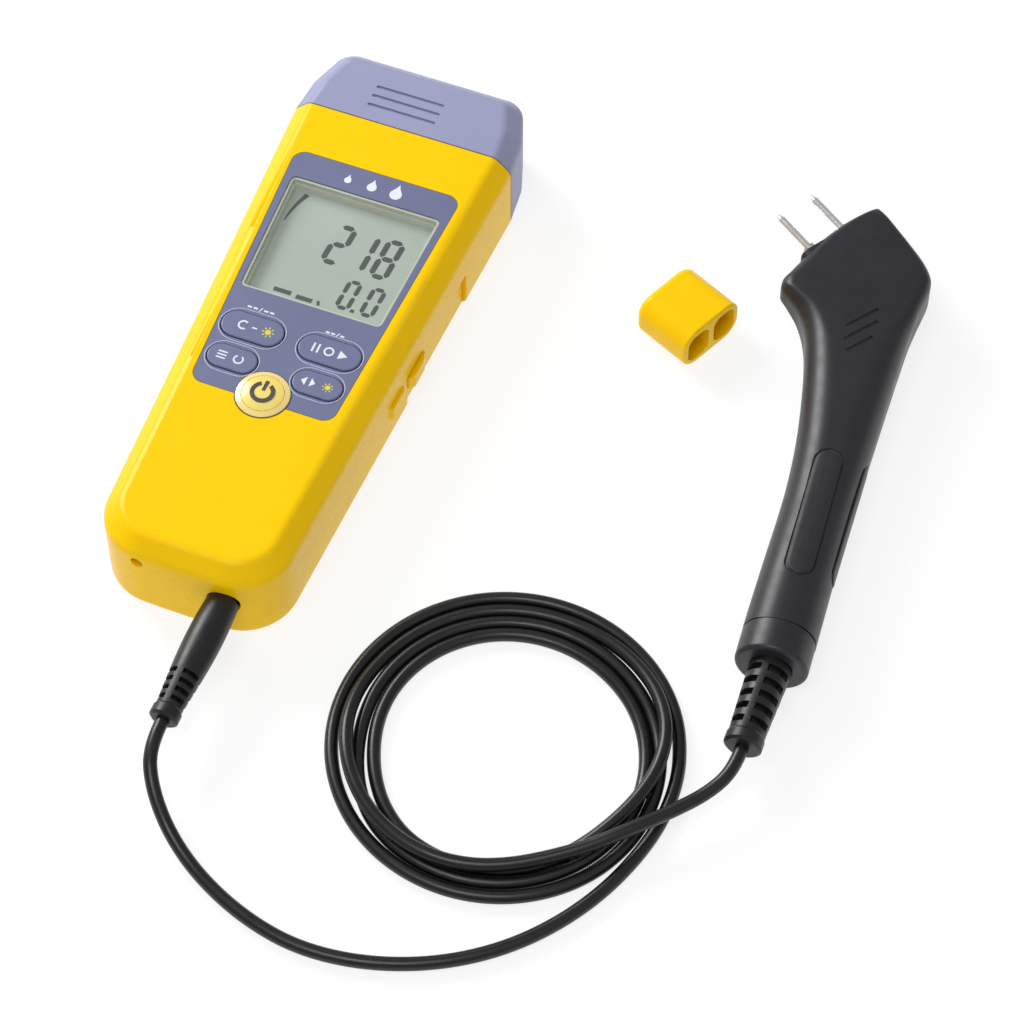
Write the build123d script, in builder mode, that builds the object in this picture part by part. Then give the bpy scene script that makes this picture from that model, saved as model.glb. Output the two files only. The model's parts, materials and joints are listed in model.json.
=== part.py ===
"""Pin-type moisture meter: a hand-held reader, its pin handset on a lead, and the handset's pin cap.

Millimetres, +Z up, the meter lying on its back. The origin is the middle of the meter's back face,
+Y runs along the case towards the electrode end, and +X is to the right of the display.
"""
from build123d import *
from math import cos, pi, radians, sin, tan
import os

os.makedirs("parts", exist_ok=True)

# ---------------------------------------------------------------- driving dimensions: meter case
case_top_y = 61.0  # joint face between the case and the electrode cap
case_low_y = -90.0
case_half_top = 32.0
case_half_waist = 28.6
case_half_low = 25.3
waist_y = -12.0
corner_r = 15.0
case_t = 27.0  # thickness, back to front
parting_z = 13.0
wall = 2.2
bevel = 4.6
soft_r = 3.0
floor_r = 2.4
clearance = 0.3

# ---------------------------------------------------------------- driving dimensions: face
plate_t = 0.9
plate_top_y = 44.6
plate_low_y = -36.6
plate_half_top = 24.2
plate_half_low = 20.0
window_half_top = 21.7
window_half_low = 20.2
window_h = 39.4
window_y = 16.2
key_travel = 0.8
key_proud = 0.5
power_y = -34.6
ring_r = 7.3
power_r = 5.4
# name, centre x, centre y, length, width
keys = [
    ("key_upper_left", -11.0, -15.9, 17.4, 8.4),
    ("key_upper_right", 11.0, -15.9, 17.4, 8.4),
    ("key_lower_left", -12.1, -26.8, 13.8, 7.4),
    ("key_lower_right", 12.1, -26.8, 13.8, 7.4),
]

# ---------------------------------------------------------------- driving dimensions: inside
board_z = 18.2
board_t = 1.6
glass_z = 20.6
glass_t = 2.6
cell_r = 5.2
cell_length = 44.0
cell_pitch = 10.8
cell_z = 8.3
cell_y = 4.5
door_low_y = -22.0
door_top_y = 31.0
door_tongue_half = 20.0
wing_low_y = -7.0
door_inset = 1.2
door_t = 1.6
screw_spots = [(-21.0, 52.0), (21.0, 52.0), (-16.5, -76.0), (17.0, -60.0)]
board_screw_spots = [(-18.0, 32.0), (18.0, 32.0), (-18.0, -46.0), (18.0, -46.0)]
cell_spots = [(cell_pitch * step, cell_z) for step in (-1, 0, 1)]
strap_x = -11.6
strap_z = 19.6
strap_r = 1.7
strap_boss_y = -84.6
strap_bar_r = 0.7
strap_bar_drop = 2.7  # bar below the hole's line, so the hole runs clear
strap_bar_length = 5.6
socket_r = 4.5

# ---------------------------------------------------------------- driving dimensions: electrode end
cap_end_y = 85.2
cap_shoulder = (31.0, 72.0)
cap_end_half = 26.5
cap_wall = 1.9
nose_end_y = 73.0
nose_half = 17.0
nose_low_z = 6.0
nose_top_z = 19.0
built_in_pin_x = 12.5
built_in_pin_z = 13.0
built_in_pin_r = 1.3

# ---------------------------------------------------------------- driving dimensions: lead
plug_x = 12.0
plug_z = 14.0
plug_out_y = -89.6  # face of the case's lower end
sleeve_end_y = -112.0
boot_end_y = -127.0
tip_r = 1.75
cord_r = 1.8
coil_x = 91.1
coil_y = -96.1
coil_outer_r = 45.3
coil_inner_r = 30.9
coil_mid_z = 7.2
coil_tilt = 4.1
coil_tilt_heading = -22.5

# ---------------------------------------------------------------- driving dimensions: handset
axis_z = 10.0
handset_heading = 5.5
collar_length = 9.0
handset_wall = 1.8
handset = Plane(
    origin=(147.6, -55.6, axis_z),
    x_dir=(cos(radians(handset_heading)), sin(radians(handset_heading)), 0),
    z_dir=(0, 0, 1),
)
# distance along the handset, left side, right side, height above and depth below its axis, corner radius
stations = [
    (9.3, -9.6, 9.7, 9.5, 9.5, 9.0),
    (27.0, -9.3, 9.7, 9.4, 9.4, 8.8),
    (50.0, -8.8, 9.9, 9.3, 9.3, 8.6),
    (68.0, -9.6, 10.5, 9.4, 9.4, 8.6),
    (84.0, -11.6, 11.0, 9.6, 9.6, 8.2),
    (96.0, -13.7, 11.4, 9.7, 9.6, 7.6),
    (104.0, -16.0, 11.7, 9.8, 8.6, 7.0),
    (110.0, -19.6, 12.0, 9.9, 7.2, 6.4),
    (114.0, -23.2, 12.4, 10.0, 5.6, 5.8),
    (117.5, -23.6, 12.8, 10.0, 5.0, 5.2),
    (125.0, -20.8, 14.2, 10.0, 4.6, 4.6),
    (131.0, -17.6, 12.0, 10.0, 4.3, 4.2),
    (137.0, -13.9, 7.0, 9.9, 4.0, 3.8),
    (142.0, -10.0, 1.6, 9.6, 3.7, 3.0),
    (146.0, -6.6, -4.0, 8.8, 3.4, 1.2),
]
pin_heading = 141.0  # in the handset's own plane
pin_gap = 11.5
pin_r = 1.2
pin_face = (-14.3, 133.6, 3.0)
pin_length = 18.8
wire_r = 0.7
pad_length = 39.0
pad_w = 6.4
pad_middle = 44.0
pad_sink = 0.7
pad_proud = 0.35
probe_screw_spots = [(5.6, 94.0), (4.6, 21.0)]
probe_boot_length = 24.5
boot_lean = -3.5
rib_turn = 10.0  # strain relief ribs, turned from the plane of the lead

# ---------------------------------------------------------------- driving dimensions: pin cap
pin_cap_centre = (89.6, 44.2)
pin_cap_heading = -24.3
pin_cap_w = 21.2
pin_cap_d = 18.4
pin_cap_h = 13.6
pin_cap_corner = 5.4
pocket_x = 4.9
pocket_w = 8.0
pocket_h = 9.8
pocket_depth = 16.6


def save(piece, name):
    piece.part.label = name
    export_step(piece.part, f"parts/{name}.step")


# ================================================================ meter case
def case_sketch(inset=0.0):
    """Plan of the case: sides drawn in at the waist, a rounded lower end and a flat upper end."""
    top, low, bow = case_top_y - inset, case_low_y + inset, 0.8
    wide, waist, narrow = case_half_top - inset, case_half_waist - inset, case_half_low - inset
    with BuildSketch() as plan:
        with BuildLine():
            ThreePointArc((wide, top), (waist, waist_y), (narrow, low + bow))
            ThreePointArc((narrow, low + bow), (0, low), (-narrow, low + bow))
            ThreePointArc((-narrow, low + bow), (-waist, waist_y), (-wide, top))
            Line((-wide, top), (wide, top))
        make_face()
        fillet(plan.vertices().group_by(Axis.Y)[0], radius=corner_r - inset)
    return plan.sketch


def level_edges(part, z):
    """Edges of a part that lie flat at height z."""
    flat = part.edges().filter_by(lambda e: e.bounding_box().size.Z < 0.01)
    return flat.filter_by(lambda e: abs(e.center().Z - z) < 0.01)


def side_edges(part, z):
    """Edges of the case's outline at height z, without the ones on the flat upper end."""
    return level_edges(part, z).filter_by(lambda e: e.center().Y < case_top_y - 0.5)


with BuildPart() as case_form:
    add(case_sketch())
    extrude(amount=case_t)
    chamfer(side_edges(case_form, case_t), length=bevel)
    fillet(side_edges(case_form, case_t), radius=soft_r)
    fillet(side_edges(case_form, case_t - bevel), radius=soft_r)
    fillet(side_edges(case_form, 0), radius=floor_r)


def plate_sketch(grow=0.0):
    """Plan of the faceplate, narrower at its lower end."""
    top, low = plate_top_y + grow, plate_low_y - grow
    wide, narrow = plate_half_top + grow, plate_half_low + grow
    with BuildSketch() as plan:
        with BuildLine():
            Polyline((-wide, top), (wide, top), (narrow, low), (-narrow, low), close=True)
        make_face()
        fillet(plan.vertices(), radius=3.6 + grow)
    return plan.sketch


def window_sketch(grow=0.0, corner=1.6):
    """Plan of the display window, a little narrower at its lower edge."""
    wide, narrow, half = window_half_top + grow, window_half_low + grow, window_h / 2 + grow
    top, low = window_y + half, window_y - half
    with BuildSketch() as plan:
        with BuildLine():
            Polyline((-wide, top), (wide, top), (narrow, low), (-narrow, low), close=True)
        make_face()
        fillet(plan.vertices(), radius=corner)
    return plan.sketch


def door_back_sketch(grow=0.0):
    """Plan of the battery door's back: as wide as the case beside the cells, a tongue below them."""
    with BuildSketch() as plan:
        with Locations((0, (door_low_y + door_top_y) / 2)):
            Rectangle(2 * door_tongue_half + 2 * grow, door_top_y - door_low_y + 2 * grow)
        with Locations((0, (wing_low_y + door_top_y) / 2)):
            Rectangle(90, door_top_y - wing_low_y + 2 * grow)
    return plan.sketch


def door_wing_sketch(outer_inset, inner_inset, grow=0.0):
    """Plan of the door's two side wings, a band that follows the sides of the case."""
    with BuildSketch() as plan:
        add(case_sketch(inset=outer_inset))
        add(case_sketch(inset=inner_inset), mode=Mode.SUBTRACT)
        with Locations((0, (wing_low_y + door_top_y) / 2)):
            Rectangle(90, door_top_y - wing_low_y + 2 * grow, mode=Mode.INTERSECT)
    return plan.sketch


def key_sketch(index, grow=0.0):
    name, x, y, length, width = keys[index]
    with BuildSketch() as plan:
        with Locations((x, y)):
            SlotOverall(length + 2 * grow, width + 2 * grow)
    return plan.sketch


def nose_sketch(grow=0.0):
    """Cross-section of the electrode block where it passes through the case's end wall."""
    with BuildSketch() as section:
        with Locations((0, (nose_low_z + nose_top_z) / 2)):
            RectangleRounded(2 * (nose_half + grow), nose_top_z - nose_low_z + 2 * grow, 2.0 + grow)
    return section.sketch


with BuildPart() as front_shell:
    add(case_form.part)
    split(bisect_by=Plane.XY.offset(parting_z), keep=Keep.TOP)
    with BuildSketch(Plane.XY.offset(parting_z)):
        add(case_sketch(inset=wall))
    extrude(amount=case_t - parting_z - bevel - wall, mode=Mode.SUBTRACT)
    with BuildSketch(Plane.XY.offset(parting_z)):
        add(case_sketch(inset=wall + 3.0))
    extrude(amount=case_t - parting_z - wall, mode=Mode.SUBTRACT)
    # end wall opening for the electrode block
    with BuildSketch(Plane.XZ.offset(-(case_top_y - wall - 1))):
        add(nose_sketch(grow=0.2))
    extrude(amount=-(wall + 2), mode=Mode.SUBTRACT)
    # screw bosses
    with BuildSketch(Plane.XY.offset(parting_z)):
        with Locations(*screw_spots):
            Circle(3.2)
            Circle(1.3, mode=Mode.SUBTRACT)
    extrude(amount=case_t - parting_z - wall)
    # seat for the faceplate, with the window, key and power openings through it
    with BuildSketch(Plane.XY.offset(case_t - plate_t)):
        add(plate_sketch(grow=0.15))
    extrude(amount=plate_t + 1, mode=Mode.SUBTRACT)
    with BuildSketch(Plane.XY.offset(parting_z + 3)):
        add(window_sketch())
        for index in range(len(keys)):
            add(key_sketch(index, grow=clearance))
        with Locations((0, power_y)):
            Circle(power_r + clearance)
    extrude(amount=case_t, mode=Mode.SUBTRACT)
    with BuildSketch(Plane.XY.offset(case_t - plate_t)):
        with Locations((0, power_y)):
            Circle(ring_r + 0.15)
    extrude(amount=plate_t + 1, mode=Mode.SUBTRACT)
    # boss that makes the lower end wall thicker round the wrist-strap hole
    with BuildSketch(Plane.XZ.offset(-(strap_boss_y - 2.5))):
        with Locations((strap_x, strap_z - 0.2)):
            Rectangle(8.0, 7.2)
    extrude(amount=-2.5)
    # lugs behind the hole that carry the strap bar
    with BuildSketch(Plane.XZ.offset(-(strap_boss_y - 0.5))):
        for side in (-1, 1):
            with Locations((strap_x + side * (strap_bar_length / 2 + 0.6), strap_z - 0.2)):
                Rectangle(1.2, 7.2)
    extrude(amount=-4.1)
    # lead socket opening and wrist-strap hole in the lower end wall
    with BuildSketch(Plane.XZ.offset(-(case_low_y - 1))):
        with Locations((plug_x, plug_z)):
            Circle(socket_r)
        with Locations((strap_x, strap_z)):
            Circle(strap_r)
    extrude(amount=-(strap_boss_y - case_low_y + 1.5), mode=Mode.SUBTRACT)
save(front_shell, "front_shell")

with BuildPart() as back_shell:
    add(case_form.part)
    split(bisect_by=Plane.XY.offset(parting_z), keep=Keep.BOTTOM)
    # hollow above and below the battery bay, and a narrower one beside it
    with BuildSketch(Plane.XY.offset(wall)) as hollow:
        add(case_sketch(inset=wall))
        with Locations((0, (door_low_y + door_top_y) / 2)):
            Rectangle(90, door_top_y - door_low_y + 4, mode=Mode.SUBTRACT)
    extrude(amount=parting_z, mode=Mode.SUBTRACT)
    with BuildSketch(Plane.XY.offset(wall + door_t)):
        with Locations((0, (door_low_y + door_top_y) / 2)):
            Rectangle(48, door_top_y - door_low_y + 5)
    extrude(amount=parting_z, mode=Mode.SUBTRACT)
    # seat of the battery door: across the back and up both sides
    with BuildSketch(Plane.XY.offset(-1)):
        add(door_back_sketch(grow=0.2))
    extrude(amount=door_t + 1.1, mode=Mode.SUBTRACT)
    with BuildSketch(Plane.XY.offset(-1)):
        add(door_wing_sketch(outer_inset=-2.0, inner_inset=door_inset + door_t, grow=0.2))
    extrude(amount=parting_z + 2, mode=Mode.SUBTRACT)
    # battery bay: a tray open to the back
    with BuildSketch(Plane.XY.offset(door_t + 0.1)):
        with Locations((0, cell_y)):
            Rectangle(36.8, 53.0)
            Rectangle(34.2, 50.4, mode=Mode.SUBTRACT)
    extrude(amount=parting_z + 1.9 - door_t)
    with BuildSketch(Plane.XY.offset(parting_z + 0.9)):
        with Locations((0, cell_y)):
            Rectangle(36.8, 53.0)
    extrude(amount=1.1)
    with BuildSketch(Plane.XY.offset(-1)):
        with Locations((0, cell_y)):
            Rectangle(34.2, 50.4)
    extrude(amount=parting_z + 1.9, mode=Mode.SUBTRACT)
    # end wall opening for the electrode block
    with BuildSketch(Plane.XZ.offset(-(case_top_y - wall - 1))):
        add(nose_sketch(grow=0.2))
    extrude(amount=-(wall + 2), mode=Mode.SUBTRACT)
    # screw posts with counterbored holes
    with BuildSketch(Plane.XY.offset(wall - 0.1)):
        with Locations(*screw_spots):
            Circle(4.2)
    extrude(amount=parting_z - wall + 0.1)
    with Locations(*[Location((x, y, 0), (180, 0, 0)) for x, y in screw_spots]):
        CounterBoreHole(radius=1.5, counter_bore_radius=2.9, counter_bore_depth=4.0)
    # lead socket opening
    with BuildSketch(Plane.XZ.offset(-(case_low_y - 1))):
        with Locations((plug_x, plug_z)):
            Circle(socket_r)
    extrude(amount=-6.5, mode=Mode.SUBTRACT)
    # stop ribs below the door catches
    with BuildSketch(Plane.XY.offset(8.0)):
        with BuildLine():
            Polyline((27.0, -9.0), (29.0, -9.4), (29.6, -10.8), (29.3, -17.0), (27.0, -18.6), close=True)
        make_face()
        mirror(about=Plane.YZ)
    extrude(amount=parting_z - 8.2)
save(back_shell, "back_shell")

# ================================================================ face of the meter
with BuildPart() as faceplate:
    with BuildSketch(Plane.XY.offset(case_t - plate_t)):
        add(plate_sketch())
        add(window_sketch(), mode=Mode.SUBTRACT)
        for index in range(len(keys)):
            add(key_sketch(index, grow=clearance), mode=Mode.SUBTRACT)
        with Locations((0, power_y)):
            Circle(ring_r + 0.15, mode=Mode.SUBTRACT)
    extrude(amount=plate_t)
save(faceplate, "faceplate")

with BuildPart() as lcd_bezel:
    with BuildSketch(Plane.XY.offset(glass_z + glass_t)):
        add(window_sketch(grow=-0.05, corner=1.5))
        add(window_sketch(grow=-1.3, corner=0.8), mode=Mode.SUBTRACT)
    extrude(amount=case_t - 0.4 - glass_z - glass_t)
    bezel_rim = lcd_bezel.faces().sort_by(Axis.Z)[-1].inner_wires()[0].edges()
    chamfer(bezel_rim, length=0.6)
    # seat for the clear window, open to the front
    with BuildSketch(Plane.XY.offset(case_t - 1.9)):
        add(window_sketch(grow=-0.7, corner=1.0))
    extrude(amount=3, mode=Mode.SUBTRACT)
save(lcd_bezel, "lcd_bezel")

with BuildPart() as lcd_window:
    with BuildSketch(Plane.XY.offset(case_t - 1.9)):
        add(window_sketch(grow=-0.75, corner=1.0))
    extrude(amount=1.0)
save(lcd_window, "lcd_window")

with BuildPart() as lcd_glass:
    with BuildSketch(Plane.XY.offset(glass_z)):
        with Locations((0, window_y)):
            Rectangle(2 * window_half_top + 1.6, window_h + 3.0)
    extrude(amount=glass_t)
save(lcd_glass, "lcd_glass")

with BuildPart() as lcd_connectors:
    with BuildSketch(Plane.XY.offset(board_z + board_t)):
        with Locations((0, window_y - 18.0), (0, window_y + 18.0)):
            Rectangle(36, 2.4)
    extrude(amount=glass_z - board_z - board_t)
save(lcd_connectors, "lcd_connectors")

for index, (name, x, y, length, width) in enumerate(keys):
    with BuildPart() as key:
        with BuildSketch(Plane.XY.offset(case_t - 5.0)):
            add(key_sketch(index))
        extrude(amount=5.0 + key_proud)
        fillet(key.edges().group_by(Axis.Z)[-1], radius=0.4)
        with BuildSketch(Plane.XY.offset(case_t - 5.4)):
            with Locations((x, y)):
                Rectangle(length * 0.7, width + 1.2)
        extrude(amount=0.8)
    save(key, name)

with BuildPart() as power_ring:
    with BuildSketch(Plane.XY.offset(case_t - plate_t)):
        with Locations((0, power_y)):
            Circle(ring_r)
            Circle(power_r + clearance, mode=Mode.SUBTRACT)
    extrude(amount=plate_t + 0.8)
    fillet(power_ring.edges().group_by(Axis.Z)[-1], radius=0.5)
save(power_ring, "power_ring")

with BuildPart() as power_button:
    with BuildSketch(Plane.XY.offset(case_t - 5.4)):
        with Locations((0, power_y)):
            Circle(power_r + 1.0)
    extrude(amount=0.8)
    with BuildSketch(Plane.XY.offset(case_t - 5.0)):
        with Locations((0, power_y)):
            Circle(power_r)
    extrude(amount=6.0)
    fillet(power_button.edges().group_by(Axis.Z)[-1], radius=0.8)
save(power_button, "power_button")

# ================================================================ inside the meter
with BuildPart() as keypad_mat:
    with BuildSketch(Plane.XY.offset(board_z + board_t)):
        with Locations((0, -25.0)):
            RectangleRounded(42, 34, 2)
        with Locations(*[(x, y) for name, x, y, length, width in keys], (0, power_y)):
            Circle(2.2, mode=Mode.SUBTRACT)
    extrude(amount=0.5)
save(keypad_mat, "keypad_mat")

with BuildPart() as main_board:
    with BuildSketch(Plane.XY.offset(board_z)):
        with Locations((0, -6.0)):
            RectangleRounded(48, 92, 2)
        with Locations(*board_screw_spots):
            Circle(1.1, mode=Mode.SUBTRACT)
    extrude(amount=board_t)
save(main_board, "main_board")

with BuildPart() as board_chips:
    with BuildSketch(Plane.XY.offset(board_z - 1.6)):
        with Locations((-8, -40)):
            Rectangle(10, 10)
        with Locations((9, -38), (9, -46)):
            Rectangle(6, 4)
        with Locations(*[(-16 + 4 * step, -29.5) for step in range(9)]):
            Rectangle(2.0, 1.2)
    extrude(amount=1.6)
save(board_chips, "board_chips")

with BuildPart() as board_screws:
    with BuildSketch(Plane.XY.offset(board_z - 1.3)):
        with Locations(*board_screw_spots):
            Circle(1.9)
    extrude(amount=1.3)
    with BuildSketch(Plane.XY.offset(board_z)):
        with Locations(*board_screw_spots):
            Circle(1.0)
    extrude(amount=board_t + 0.8)
save(board_screws, "board_screws")

with BuildPart() as case_screws:
    with BuildSketch(Plane.XY.offset(1.9)):
        with Locations(*screw_spots):
            Circle(2.6)
    extrude(amount=2.0)
    with BuildSketch(Plane.XY.offset(3.9)):
        with Locations(*screw_spots):
            Circle(1.25)
    extrude(amount=16.0)
    with BuildSketch(Plane.XY.offset(1.9)):
        with Locations(*screw_spots):
            Rectangle(3.4, 0.8)
            Rectangle(0.8, 3.4)
    extrude(amount=1.0, mode=Mode.SUBTRACT)
save(case_screws, "case_screws")

with BuildPart() as probe_jack:
    with BuildSketch(Plane.XZ.offset(-(case_low_y + 6.2))):
        with Locations((plug_x, plug_z)):
            RectangleRounded(10, 9, 1)
            Circle(tip_r + 0.05, mode=Mode.SUBTRACT)
    extrude(amount=-16)
    with BuildSketch(Plane.XZ.offset(-(case_low_y + 3.4))):
        with Locations((plug_x, plug_z)):
            Circle(4.0)
            Circle(tip_r + 0.05, mode=Mode.SUBTRACT)
    extrude(amount=-2.8)
save(probe_jack, "probe_jack")

with BuildPart() as buzzer:
    with BuildSketch(Plane.XY.offset(7.0)):
        with Locations((-13.0, -58.0)):
            Circle(6.0)
            Circle(1.0, mode=Mode.SUBTRACT)
    extrude(amount=5.5)
save(buzzer, "buzzer")

with BuildPart() as strap_bar:
    with BuildSketch(Plane.YZ.offset(strap_x - strap_bar_length / 2)):
        with Locations((strap_boss_y + 2.0, strap_z - strap_bar_drop)):
            Circle(strap_bar_r)
    extrude(amount=strap_bar_length)
save(strap_bar, "strap_bar")

with BuildPart() as batteries:
    with BuildSketch(Plane.XZ.offset(-(cell_y - cell_length / 2))):
        with Locations(*cell_spots):
            Circle(cell_r)
    extrude(amount=-(cell_length - 1.2))
    fillet(batteries.edges(), radius=0.5)
    with BuildSketch(Plane.XZ.offset(-(cell_y + cell_length / 2 - 1.2))):
        with Locations(*cell_spots):
            Circle(1.9)
    extrude(amount=-1.2)
save(batteries, "batteries")

with BuildPart() as battery_contacts:
    with BuildSketch(Plane.XZ.offset(-(cell_y + cell_length / 2 + 0.1))):
        with Locations(*cell_spots):
            Rectangle(8, 8)
    extrude(amount=-0.5)
    with BuildSketch(Plane.XZ.offset(-(cell_y - cell_length / 2 - 0.1))):
        with Locations(*cell_spots):
            Circle(3.2)
            Circle(2.4, mode=Mode.SUBTRACT)
    extrude(amount=2.6)
save(battery_contacts, "battery_contacts")

with BuildPart() as battery_door:
    with BuildSketch():
        add(door_back_sketch())
        add(case_sketch(inset=door_inset + floor_r - 0.6), mode=Mode.INTERSECT)
    extrude(amount=door_t)
    with BuildSketch(Plane.XY.offset(0.8)):
        add(door_wing_sketch(outer_inset=door_inset, inner_inset=door_inset + door_t - 0.3))
    extrude(amount=parting_z - 1.1)
    with BuildSketch(Plane.XY.offset(0.8)):
        add(door_wing_sketch(outer_inset=door_inset, inner_inset=door_inset + floor_r))
    extrude(amount=door_t - 0.8)
    # thumb catches at the wings' lower ends
    with BuildSketch(Plane.XY.offset(8.0)):
        with BuildLine():
            Polyline(
                (27.0, -6.8), (29.2, -6.4), (30.4, -5.0), (30.6, 1.0), (29.8, 3.4), (27.4, 4.4), close=True
            )
        make_face()
        mirror(about=Plane.YZ)
    extrude(amount=parting_z - 8.4)
    with BuildSketch(Plane.XY.offset(3)):
        add(case_sketch(inset=door_inset + door_t - 0.3))
    extrude(amount=parting_z, mode=Mode.SUBTRACT)
save(battery_door, "battery_door")

# ================================================================ electrode end
with BuildPart() as electrode_block:
    with BuildSketch(Plane.XZ.offset(-(case_top_y - wall - 3.0))):
        with Locations((0, (nose_low_z + nose_top_z) / 2)):
            RectangleRounded(2 * nose_half + 4, nose_top_z - nose_low_z + 2.0, 2.5)
    extrude(amount=-2.8)
    with BuildSketch(Plane.XZ.offset(-(case_top_y - wall - 3.0))):
        add(nose_sketch())
    extrude(amount=-(nose_end_y - case_top_y + wall + 3.0))
    fillet(electrode_block.edges().group_by(Axis.Y)[-1], radius=1.2)
    with BuildSketch(Plane.XZ.offset(-(nose_end_y - 9))):
        with Locations((-built_in_pin_x, built_in_pin_z), (built_in_pin_x, built_in_pin_z)):
            Circle(built_in_pin_r + 0.02)
    extrude(amount=-12, mode=Mode.SUBTRACT)
save(electrode_block, "electrode_block")

with BuildPart() as electrode_pins:
    with BuildSketch(Plane.XZ.offset(-(nose_end_y - 9))):
        with Locations((-built_in_pin_x, built_in_pin_z), (built_in_pin_x, built_in_pin_z)):
            Circle(built_in_pin_r)
    extrude(amount=-14)
    tips = electrode_pins.faces().filter_by(Axis.Y).group_by(Axis.Y)[-1]
    extrude(tips, amount=3.4, taper=19)
save(electrode_pins, "electrode_pins")

with BuildPart() as electrode_nuts:
    with BuildSketch(Plane.XZ.offset(-nose_end_y)):
        with Locations((-built_in_pin_x, built_in_pin_z), (built_in_pin_x, built_in_pin_z)):
            RegularPolygon(radius=2.9, side_count=6)
            Circle(built_in_pin_r + 0.02, mode=Mode.SUBTRACT)
    extrude(amount=-2.2)
save(electrode_nuts, "electrode_nuts")


def cap_sketch(inset, near):
    """Plan of the electrode cap: the case's sides carried on, then drawn in to a rounded end."""
    far = cap_end_y - inset
    wide, shoulder, end_half = case_half_top - inset, cap_shoulder[0] - inset, cap_end_half - inset
    with BuildSketch() as plan:
        with BuildLine():
            Polyline(
                (-wide, near),
                (-shoulder, cap_shoulder[1]),
                (-end_half, far),
                (end_half, far),
                (shoulder, cap_shoulder[1]),
                (wide, near),
                close=True,
            )
        make_face()
        fillet(plan.vertices().group_by(Axis.Y)[-1], radius=6.5)
        fillet(plan.vertices().filter_by(lambda v: abs(v.Y - cap_shoulder[1]) < 0.01), radius=8.0)
    return plan.sketch


def cap_rim(part, z):
    """Edges of the cap's outline at height z, without those at its mouth."""
    return level_edges(part, z).filter_by(lambda e: e.center().Y > case_top_y + 1.0)


with BuildPart() as sensor_cap:
    add(cap_sketch(0.0, case_top_y + 0.4))
    extrude(amount=case_t)
    chamfer(cap_rim(sensor_cap, case_t), length=bevel)
    fillet(cap_rim(sensor_cap, case_t), radius=soft_r)
    fillet(cap_rim(sensor_cap, case_t - bevel), radius=soft_r)
    fillet(cap_rim(sensor_cap, 0), radius=floor_r)
    # hollow, open towards the case
    with BuildSketch(Plane.XY.offset(cap_wall)):
        add(cap_sketch(cap_wall, case_top_y - 1))
    extrude(amount=case_t - bevel - 2 * cap_wall, mode=Mode.SUBTRACT)
    with BuildSketch(Plane.XY.offset(cap_wall)):
        add(cap_sketch(cap_wall + 3.4, case_top_y - 1))
    extrude(amount=case_t - 2 * cap_wall, mode=Mode.SUBTRACT)
    # guides that ride on the electrode block
    with BuildSketch(Plane.XY.offset(cap_wall - 0.5)):
        with Locations((-nose_half - 1.0, 69.0), (nose_half + 1.0, 69.0)):
            Rectangle(1.4, 13.0)
    extrude(amount=case_t - 2 * cap_wall + 1.0)
    # finger grooves
    with BuildSketch(Plane.XY.offset(case_t - 0.6)):
        with Locations((-2.4, 66.6), (-2.4, 69.9), (-2.4, 73.2)):
            SlotOverall(20.0, 1.0)
    extrude(amount=2, mode=Mode.SUBTRACT)
save(sensor_cap, "sensor_cap")

# ================================================================ lead
with BuildPart() as plug_tip:
    with BuildSketch(Plane.XZ.offset(-plug_out_y)):
        with Locations((plug_x, plug_z)):
            Circle(tip_r)
    extrude(amount=-16.5)
    chamfer(plug_tip.edges().group_by(Axis.Y)[-1], length=0.7)
    with BuildSketch(Plane.XZ.offset(-(plug_out_y + 11.8))):
        with Locations((plug_x, plug_z)):
            Circle(tip_r + 1)
            Circle(tip_r - 0.3, mode=Mode.SUBTRACT)
    extrude(amount=-0.8, mode=Mode.SUBTRACT)
save(plug_tip, "plug_tip")

plug_axis = Axis((plug_x, 0, plug_z), (0, 1, 0))

with BuildPart() as plug_sleeve:
    with BuildSketch(Plane.XY.offset(plug_z)):
        with BuildLine():
            Line((plug_x, plug_out_y), (plug_x + 4.3, plug_out_y))
            Spline(
                (plug_x + 4.3, plug_out_y),
                (plug_x + 4.8, plug_out_y - 10.5),
                (plug_x + 4.4, sleeve_end_y),
                tangents=((0.08, -1), (-0.07, -1)),
            )
            Line((plug_x + 4.4, sleeve_end_y), (plug_x, sleeve_end_y))
            Line((plug_x, sleeve_end_y), (plug_x, plug_out_y))
        make_face()
    revolve(axis=plug_axis)
save(plug_sleeve, "plug_sleeve")


def ribbed_boot(place, length, root_r, end_r, bead_r, slots):
    """A tapered strain relief along -Y from a plane: ring grooves broken by four ribs, then an end bead."""
    pitch = (length - 3.6) / (slots + 0.4)
    axis = Axis(place.origin, place.y_dir)
    with BuildPart() as boot:
        with BuildSketch(place):
            with BuildLine():
                Polyline(
                    (0, 0), (root_r, 0), (end_r, 3.6 - length), (bead_r, 3.0 - length), (bead_r, 0.6 - length),
                    (bead_r - 0.8, -length), (0, -length), close=True,
                )
            make_face()
        revolve(axis=axis)
        with BuildPart(mode=Mode.SUBTRACT):
            with BuildSketch(place):
                for step in range(slots):
                    y = -pitch * (step + 0.75)
                    r = root_r + (end_r - root_r) * (-y) / (length - 3.6)
                    with Locations((r, y)):
                        Rectangle(3.0, pitch * 0.52)
            revolve(axis=axis)
            with BuildSketch(Plane(place.origin, x_dir=place.x_dir, z_dir=-place.y_dir)):
                for turn in range(4):
                    with Locations(Rot(0, 0, rib_turn + 90 * turn)):
                        with Locations((root_r / 2 + 1, 0)):
                            Rectangle(root_r + 2, 1.7)
            extrude(amount=length, mode=Mode.SUBTRACT)
    return boot


plug_boot = ribbed_boot(
    Plane((plug_x, sleeve_end_y, plug_z)), sleeve_end_y - boot_end_y, 4.4, 3.5, 3.9, 4
)
save(plug_boot, "plug_boot")

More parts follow.
